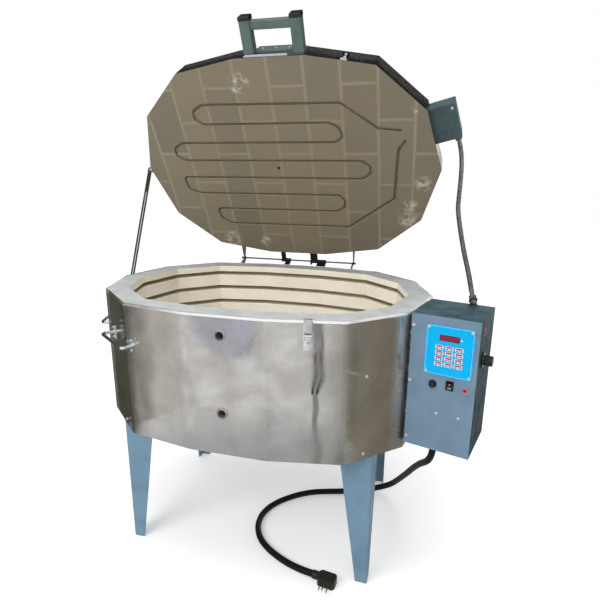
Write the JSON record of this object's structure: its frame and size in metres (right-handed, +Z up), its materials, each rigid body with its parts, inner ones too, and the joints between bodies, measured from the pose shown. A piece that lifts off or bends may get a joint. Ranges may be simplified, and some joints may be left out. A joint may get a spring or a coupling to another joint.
{
  "type": "oval glass kiln",
  "caption": "Oval electric glass kiln with a hinged brick lid propped open, stainless jacket, side controller box and angle legs.",
  "frame": {"origin": "on the floor, at the middle of the bounding box of everything but the supply cord and plug", "axes": "+Z up, X along the oval with the control box at +X, -Y towards the user"},
  "size_m": [1.2708, 0.839, 1.6794],
  "materials": {
    "brick": "soft insulating firebrick, cream",
    "lid_brick": "coated insulating firebrick, taupe",
    "stainless_jacket": "bright annealed stainless sheet",
    "stand_paint": "smooth blue-grey powder coat",
    "pan_steel": "aluminised steel",
    "zinc_fasteners": "zinc plated",
    "white_ceramic": "glazed steatite",
    "element_wire": "oxidised resistance wire",
    "bright_chrome": "bright plating",
    "box_paint": "slate textured powder coat",
    "panel_paint": "blue-grey powder coat",
    "plate_paint": "cyan polyester overlay",
    "red_lens": "tinted acrylic",
    "board": "glass epoxy board",
    "bezel_plastic": "moulded nylon",
    "black_plastic": "black moulded plastic",
    "gear_plastic": "relay housings and transformer core",
    "key_white": "white moulded keycaps",
    "gland_nylon": "black nylon",
    "cord_rubber": "black rubber",
    "blade_brass": "stamped brass",
    "hinge_black": "black enamel",
    "rod_steel": "cold drawn steel",
    "stay_steel": "oiled flat bar",
    "handle_paint": "grey-green powder coat",
    "plate_blue": "blue-grey painted steel",
    "junction_paint": "slate powder coat",
    "conduit_metal": "interlocked aluminium hose",
    "fitting_zinc": "die-cast zinc"
  },
  "bodies": {
    "root": {"legs": "stand_paint", "leg_bolts": "zinc_fasteners", "base_pan": "pan_steel", "floor_slab": "brick", "wall_bricks": "brick", "jacket": "stainless_jacket", "body_screws": "zinc_fasteners", "peephole_bushes": "white_ceramic", "side_elements": "element_wire", "element_bushings": "white_ceramic", "thermocouple": "element_wire", "grab_handles": "bright_chrome", "control_box": "box_paint", "front_panel": "panel_paint", "controller_plate": "plate_paint", "display_window": "red_lens", "circuit_board": "board", "panel_bezels": "bezel_plastic", "pilot_lenses": "red_lens", "switchgear": "gear_plastic", "cord_gland": "gland_nylon", "power_cord": "cord_rubber", "plug_body": "cord_rubber", "plug_blades": "blade_brass", "hinge_rod": "rod_steel", "body_hinge_straps": "hinge_black", "latch_base": "bright_chrome", "stay_stud": "rod_steel", "conduit": "conduit_metal", "conduit_fitting_lower": "fitting_zinc"},
    "lid": {"lid_hinge_straps": "hinge_black", "lid_slab": "lid_brick", "lid_band": "stainless_jacket", "lid_element": "element_wire", "lid_bushings": "white_ceramic", "lid_screws": "zinc_fasteners", "handle_plate": "plate_blue", "handle_frame": "handle_paint", "handle_caps": "black_plastic", "junction_box": "junction_paint", "latch_keeper": "bright_chrome", "conduit_fitting_upper": "fitting_zinc"},
    "stay": {"stay_bar": "stay_steel"},
    "lever": {"latch_lever": "bright_chrome"},
    "claw": {"latch_claw": "bright_chrome"},
    "rocker_switch": {"rocker": "black_plastic"},
    "fuse": {"fuse_cap": "black_plastic"},
    "dial": {"dial_knob": "black_plastic"},
    "key_1_cap": {"key_1": "key_white"},
    "key_2_cap": {"key_2": "key_white"},
    "key_3_cap": {"key_3": "key_white"},
    "key_4_cap": {"key_4": "key_white"},
    "key_5_cap": {"key_5": "key_white"},
    "key_6_cap": {"key_6": "key_white"},
    "key_7_cap": {"key_7": "key_white"},
    "key_8_cap": {"key_8": "key_white"},
    "key_9_cap": {"key_9": "key_white"},
    "key_10_cap": {"key_10": "key_white"},
    "key_11_cap": {"key_11": "key_white"},
    "key_12_cap": {"key_12": "key_white"}
  },
  "joints": [
    {"name": "lid_hinge", "type": "hinge", "parent": "root", "child": "lid", "pos_m": [-0.07214, 0.37923, 0.8679], "axis": [1, 0, 0], "range_deg": [0, 61.3], "deforming": ["conduit"]},
    {"name": "stay_swing", "type": "hinge", "parent": "lid", "child": "stay", "pos_m": [-0.62014, 0.18399, 1.22453], "axis": [1, 0, 0], "range_deg": [-30.65, 0]},
    {"name": "lever_swing", "type": "hinge", "parent": "root", "child": "lever", "pos_m": [0.15818, -0.40475, 0.818], "axis": [0.9848, 0.1736, 0], "range_deg": [-120, 0]},
    {"name": "claw_swing", "type": "hinge", "parent": "lever", "child": "claw", "pos_m": [0.15905, -0.40968, 0.809], "axis": [0.9848, 0.1736, 0], "range_deg": [0, 120]},
    {"name": "rocker_tip", "type": "hinge", "parent": "root", "child": "rocker_switch", "pos_m": [0.5222, -0.27774, 0.67], "axis": [0.9613, -0.2756, 0], "range_deg": [-24, 0]},
    {"name": "fuse_turn", "type": "hinge", "parent": "root", "child": "fuse", "pos_m": [0.47752, -0.26701, 0.6663], "axis": [-0.2756, -0.9613, 0], "range_deg": [0, 90]},
    {"name": "dial_turn", "type": "hinge", "parent": "root", "child": "dial", "pos_m": [0.6001, -0.24806, 0.742], "axis": [0.9613, -0.2756, 0], "range_deg": [-300, 0]},
    {"name": "key_1_press", "type": "slide", "parent": "root", "child": "key_1_cap", "axis": [0.2756, 0.9613, 0], "range_m": [0, 0.0008], "stiffness_N_per_m": 900, "springref_m": -0.001},
    {"name": "key_2_press", "type": "slide", "parent": "root", "child": "key_2_cap", "axis": [0.2756, 0.9613, 0], "range_m": [0, 0.0008], "stiffness_N_per_m": 900, "springref_m": -0.001},
    {"name": "key_3_press", "type": "slide", "parent": "root", "child": "key_3_cap", "axis": [0.2756, 0.9613, 0], "range_m": [0, 0.0008], "stiffness_N_per_m": 900, "springref_m": -0.001},
    {"name": "key_4_press", "type": "slide", "parent": "root", "child": "key_4_cap", "axis": [0.2756, 0.9613, 0], "range_m": [0, 0.0008], "stiffness_N_per_m": 900, "springref_m": -0.001},
    {"name": "key_5_press", "type": "slide", "parent": "root", "child": "key_5_cap", "axis": [0.2756, 0.9613, 0], "range_m": [0, 0.0008], "stiffness_N_per_m": 900, "springref_m": -0.001},
    {"name": "key_6_press", "type": "slide", "parent": "root", "child": "key_6_cap", "axis": [0.2756, 0.9613, 0], "range_m": [0, 0.0008], "stiffness_N_per_m": 900, "springref_m": -0.001},
    {"name": "key_7_press", "type": "slide", "parent": "root", "child": "key_7_cap", "axis": [0.2756, 0.9613, 0], "range_m": [0, 0.0008], "stiffness_N_per_m": 900, "springref_m": -0.001},
    {"name": "key_8_press", "type": "slide", "parent": "root", "child": "key_8_cap", "axis": [0.2756, 0.9613, 0], "range_m": [0, 0.0008], "stiffness_N_per_m": 900, "springref_m": -0.001},
    {"name": "key_9_press", "type": "slide", "parent": "root", "child": "key_9_cap", "axis": [0.2756, 0.9613, 0], "range_m": [0, 0.0008], "stiffness_N_per_m": 900, "springref_m": -0.001},
    {"name": "key_10_press", "type": "slide", "parent": "root", "child": "key_10_cap", "axis": [0.2756, 0.9613, 0], "range_m": [0, 0.0008], "stiffness_N_per_m": 900, "springref_m": -0.001},
    {"name": "key_11_press", "type": "slide", "parent": "root", "child": "key_11_cap", "axis": [0.2756, 0.9613, 0], "range_m": [0, 0.0008], "stiffness_N_per_m": 900, "springref_m": -0.001},
    {"name": "key_12_press", "type": "slide", "parent": "root", "child": "key_12_cap", "axis": [0.2756, 0.9613, 0], "range_m": [0, 0.0008], "stiffness_N_per_m": 900, "springref_m": -0.001}
  ],
  "couplings": [
    {"joint": "stay_swing", "follows": "lid_hinge", "ratio": -0.5},
    {"joint": "claw_swing", "follows": "lever_swing", "ratio": -1}
  ]
}
